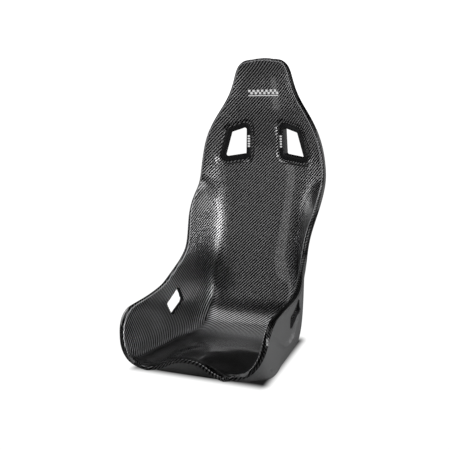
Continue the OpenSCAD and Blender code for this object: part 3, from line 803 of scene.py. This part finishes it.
# ---------------------------------------------------------------- stage
FOOT_X, FOOT_FRONT, FOOT_BACK, FOOT_TAPER = 0.193, -0.217, 0.215, 0.1      # foot of the seat, in metres
SHADE_SIDE, SHADE_FRONT, SHADE_BACK = 0.026, 0.045, 0.06                   # reach of the painted contact shadow
SHADE_END, SHADE_DARK = 1.3, 0.012
FLOOR_SEEN, FLOOR_BOUNCE = 1.05, 0.4
FLOOR_HALF, FLOOR_Z = 60, -0.0005


def beyond(nt, a, b, reach):
    """how far a lies beyond b, counted in reaches, and 0 before it"""
    return mth(nt, "DIVIDE", mth(nt, "MAXIMUM", mth(nt, "SUBTRACT", a, b), 0.0), reach)


def floor_white():
    """white to the camera with a painted contact shadow round the seat's foot, and a weak reflector to the
    seat, dimmed within that painted shadow
    """
    m, nt, b = nodes_of("floor_white")
    settings(b, {"Roughness": 1.0, "Specular IOR Level": 0.0, "Emission Color": (1, 1, 1, 1)})
    geo = nt.nodes.new("ShaderNodeNewGeometry")
    px, py, _ = split(nt, geo.outputs["Position"])
    wide = mth(nt, "SUBTRACT", FOOT_X, mth(nt, "MULTIPLY", mth(nt, "SUBTRACT", py, FOOT_FRONT), FOOT_TAPER))
    qx = beyond(nt, mth(nt, "ABSOLUTE", px), wide, SHADE_SIDE)
    qy = mth(nt, "ADD", beyond(nt, FOOT_FRONT, py, SHADE_FRONT), beyond(nt, py, FOOT_BACK, SHADE_BACK))
    r = mth(nt, "SQRT", mth(nt, "ADD", mth(nt, "MULTIPLY", qx, qx), mth(nt, "MULTIPLY", qy, qy)))
    # clear is 1 away from the foot and falls to SHADE_DARK in the painted contact shadow
    clear = fade(nt, r, 0.0, SHADE_END, SHADE_DARK, 1.0)
    seen = nt.nodes.new("ShaderNodeLightPath").outputs["Is Camera Ray"]
    bounce = mth(nt, "MULTIPLY", mth(nt, "MULTIPLY", clear, FLOOR_BOUNCE), mth(nt, "SUBTRACT", 1.0, seen))
    base = nt.nodes.new("ShaderNodeCombineColor")
    for k in range(3):
        nt.links.new(bounce, base.inputs[k])
    nt.links.new(base.outputs[0], b.inputs["Base Color"])
    glow = mth(nt, "MULTIPLY", clear, mth(nt, "MULTIPLY", seen, FLOOR_SEEN))
    nt.links.new(glow, b.inputs["Emission Strength"])
    return m


def studio():
    """white behind the seat to the camera, almost black to the seat"""
    world = bpy.data.worlds.new("studio")
    bpy.context.scene.world = world
    world.use_nodes = True
    nt = world.node_tree
    seen = nt.nodes.new("ShaderNodeLightPath").outputs["Is Camera Ray"]
    nt.links.new(two_tone(nt, seen, (0.004,) * 3, (1.3,) * 3), nt.nodes["Background"].inputs[0])


corners = [(x * FLOOR_HALF, y * FLOOR_HALF, FLOOR_Z) for x, y in ((-1, -1), (1, -1), (1, 1), (-1, 1))]
floor = make("floor", corners, [(0, 1, 2, 3)], smooth=False)
wear(floor, floor_white())
studio()

LIGHT_DIST, LIGHT_AIM = 2.5, Vector((0, 0, 0.45))


def area(name, az, el, size, power):
    """softbox seen from the seat at a bearing (0 in front of the seat, + to camera right) and height angle"""
    d = bpy.data.lights.new(name, "AREA")
    d.shape = "RECTANGLE"
    d.size, d.size_y = size
    d.energy = power
    o = bpy.data.objects.new(name, d)
    bpy.context.scene.collection.objects.link(o)
    a, e = math.radians(az), math.radians(el)
    away = Vector((math.sin(a) * math.cos(e), -math.cos(a) * math.cos(e), math.sin(e)))
    o.location = LIGHT_AIM + LIGHT_DIST * away
    o.rotation_euler = (LIGHT_AIM - o.location).to_track_quat("-Z", "Y").to_euler()
    o.visible_camera = False


area("strip_right", 59, 10, (0.24, 1.3), 7)
area("strip_front", 47, 14, (0.2, 0.9), 4)
area("strip_low", 71, 1, (0.26, 0.8), 3.6)
area("fill_right", 92, 32, (1.2, 1.1), 3.4)
area("side_low", 104, -3, (0.3, 0.6), 1.6)
area("high_right", 45, 60, (1.2, 0.9), 2.6)
area("top", 0, 80, (2.6, 1.6), 9)
area("back_left", -103, 8, (2.0, 1.1), 12)
area("back_right", 140, 12, (1.4, 1.1), 4)
area("kick_left", -33, 8, (0.34, 1.2), 1.5)

CAM_AT = (0.9252, -1.9172 - Y_MID / 1000, 0.7285)
CAM_TURN, CAM_DOWN = 23.98, 7.87        # degrees round the seat, and below level
CAM_LENS, CAM_SENSOR = 60.8, 36
cam = bpy.data.cameras.new("camera")
co = bpy.data.objects.new("camera", cam)
bpy.context.scene.collection.objects.link(co)
co.location = CAM_AT
co.rotation_euler = (math.pi / 2 - math.radians(CAM_DOWN), 0, math.radians(CAM_TURN))
cam.sensor_width = CAM_SENSOR
cam.lens = CAM_LENS
bpy.context.scene.camera = co
bpy.context.scene.view_settings.view_transform = "Standard"
